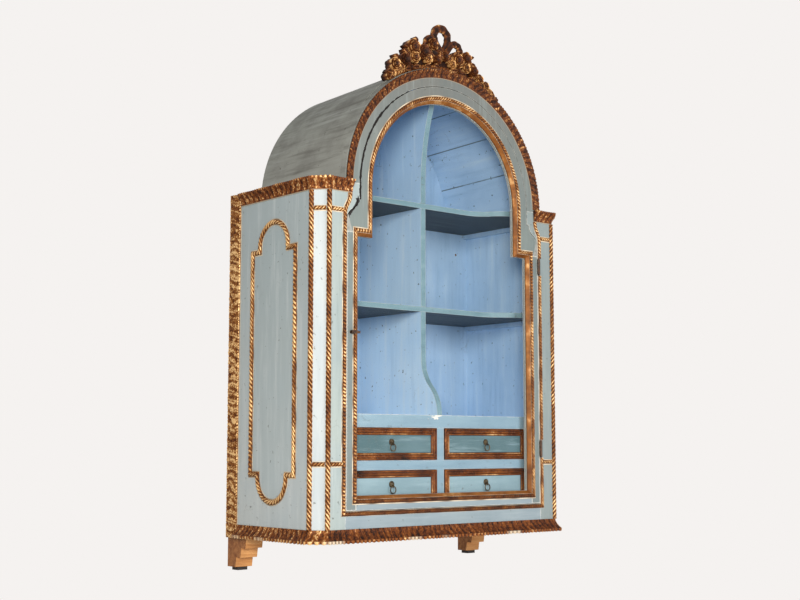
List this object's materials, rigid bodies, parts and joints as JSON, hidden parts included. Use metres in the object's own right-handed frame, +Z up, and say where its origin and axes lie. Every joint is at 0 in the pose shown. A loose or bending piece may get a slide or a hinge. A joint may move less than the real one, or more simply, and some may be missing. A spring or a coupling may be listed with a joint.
{
  "type": "wall display cabinet",
  "caption": "Hanging display cabinet in pale painted and gilded wood with a barrel roof, an arched glazed door, shaped shelves and small drawers.",
  "frame": {"origin": "on the wall plane at the back, in the middle of the width, level with the top edge of the base moulding", "axes": "+X to the right as seen from the front, +Y into the wall, +Z up"},
  "size_m": [0.91, 0.403, 1.4717],
  "materials": {
    "case_paint": "satin",
    "roof_boards": "matte",
    "interior_paint": "satin",
    "drawer_paint": "satin",
    "bare_wood": "matte",
    "gilded_wood": "satin",
    "iron": "satin",
    "glass": "polished",
    "pad": "matte"
  },
  "bodies": {
    "case": {"arch_moulding": "gilded_wood", "back_planks": "interior_paint", "back_strips": "gilded_wood", "base_moulding": "gilded_wood", "bottom_board": "bare_wood", "bracket_pads": "pad", "brackets": "bare_wood", "corner_posts": "case_paint", "corner_ropes": "gilded_wood", "cornice": "gilded_wood", "crest": "gilded_wood", "display_floor": "interior_paint", "divider": "interior_paint", "drawer_face_frame": "interior_paint", "drawer_partitions": "bare_wood", "drawer_runners": "bare_wood", "face_arch_head": "case_paint", "face_bottom_rail": "case_paint", "face_stile_left": "case_paint", "face_stile_right": "case_paint", "hinge_frame_leaves": "iron", "hinge_pins": "iron", "lower_shelf": "interior_paint", "opening_rope": "gilded_wood", "roof_staves": "roof_boards", "shelf_cleats": "bare_wood", "side_panel_left": "case_paint", "side_panel_right": "case_paint", "side_panel_ropes": "gilded_wood", "upper_shelf": "interior_paint"},
    "door": {"door_stile_left": "case_paint", "door_stile_right": "case_paint", "door_bottom_rail": "case_paint", "door_arch_head": "case_paint", "door_rope": "gilded_wood", "door_reveal": "gilded_wood", "door_glass": "glass", "glazing_beads": "bare_wood", "hinge_door_leaves": "iron"},
    "catch": {"turn_catch": "iron"},
    "drawer_lower_left": {"drawer_lower_left_front": "drawer_paint", "drawer_lower_left_box": "bare_wood", "drawer_lower_left_moulding": "gilded_wood", "drawer_lower_left_pull": "iron"},
    "drawer_lower_left_drop": {"drawer_lower_left_ring": "iron"},
    "drawer_upper_left": {"drawer_upper_left_front": "drawer_paint", "drawer_upper_left_box": "bare_wood", "drawer_upper_left_moulding": "gilded_wood", "drawer_upper_left_pull": "iron"},
    "drawer_upper_left_drop": {"drawer_upper_left_ring": "iron"},
    "drawer_lower_right": {"drawer_lower_right_front": "drawer_paint", "drawer_lower_right_box": "bare_wood", "drawer_lower_right_moulding": "gilded_wood", "drawer_lower_right_pull": "iron"},
    "drawer_lower_right_drop": {"drawer_lower_right_ring": "iron"},
    "drawer_upper_right": {"drawer_upper_right_front": "drawer_paint", "drawer_upper_right_box": "bare_wood", "drawer_upper_right_moulding": "gilded_wood", "drawer_upper_right_pull": "iron"},
    "drawer_upper_right_drop": {"drawer_upper_right_ring": "iron"}
  },
  "joints": [
    {"name": "door_hinge", "type": "hinge", "parent": "case", "child": "door", "pos_m": [0.3463, -0.3865, 0.4535], "axis": [0, 0, 1], "range_deg": [0, 110]},
    {"name": "catch_turn", "type": "hinge", "parent": "door", "child": "catch", "pos_m": [-0.3314, -0.382, 0.487], "axis": [0, -1, 0], "range_deg": [0, 90]},
    {"name": "drawer_lower_left_slide", "type": "slide", "parent": "case", "child": "drawer_lower_left", "axis": [0, -1, 0], "range_m": [0, 0.008]},
    {"name": "drawer_lower_left_ring_swing", "type": "hinge", "parent": "drawer_lower_left", "child": "drawer_lower_left_drop", "pos_m": [-0.16875, -0.353, 0.10075], "axis": [-1, 0, 0], "range_deg": [0, 40]},
    {"name": "drawer_upper_left_slide", "type": "slide", "parent": "case", "child": "drawer_upper_left", "axis": [0, -1, 0], "range_m": [0, 0.008]},
    {"name": "drawer_upper_left_ring_swing", "type": "hinge", "parent": "drawer_upper_left", "child": "drawer_upper_left_drop", "pos_m": [-0.16875, -0.353, 0.20875], "axis": [-1, 0, 0], "range_deg": [0, 40]},
    {"name": "drawer_lower_right_slide", "type": "slide", "parent": "case", "child": "drawer_lower_right", "axis": [0, -1, 0], "range_m": [0, 0.008]},
    {"name": "drawer_lower_right_ring_swing", "type": "hinge", "parent": "drawer_lower_right", "child": "drawer_lower_right_drop", "pos_m": [0.16875, -0.353, 0.10075], "axis": [-1, 0, 0], "range_deg": [0, 40]},
    {"name": "drawer_upper_right_slide", "type": "slide", "parent": "case", "child": "drawer_upper_right", "axis": [0, -1, 0], "range_m": [0, 0.008]},
    {"name": "drawer_upper_right_ring_swing", "type": "hinge", "parent": "drawer_upper_right", "child": "drawer_upper_right_drop", "pos_m": [0.16875, -0.353, 0.20875], "axis": [-1, 0, 0], "range_deg": [0, 40]}
  ]
}
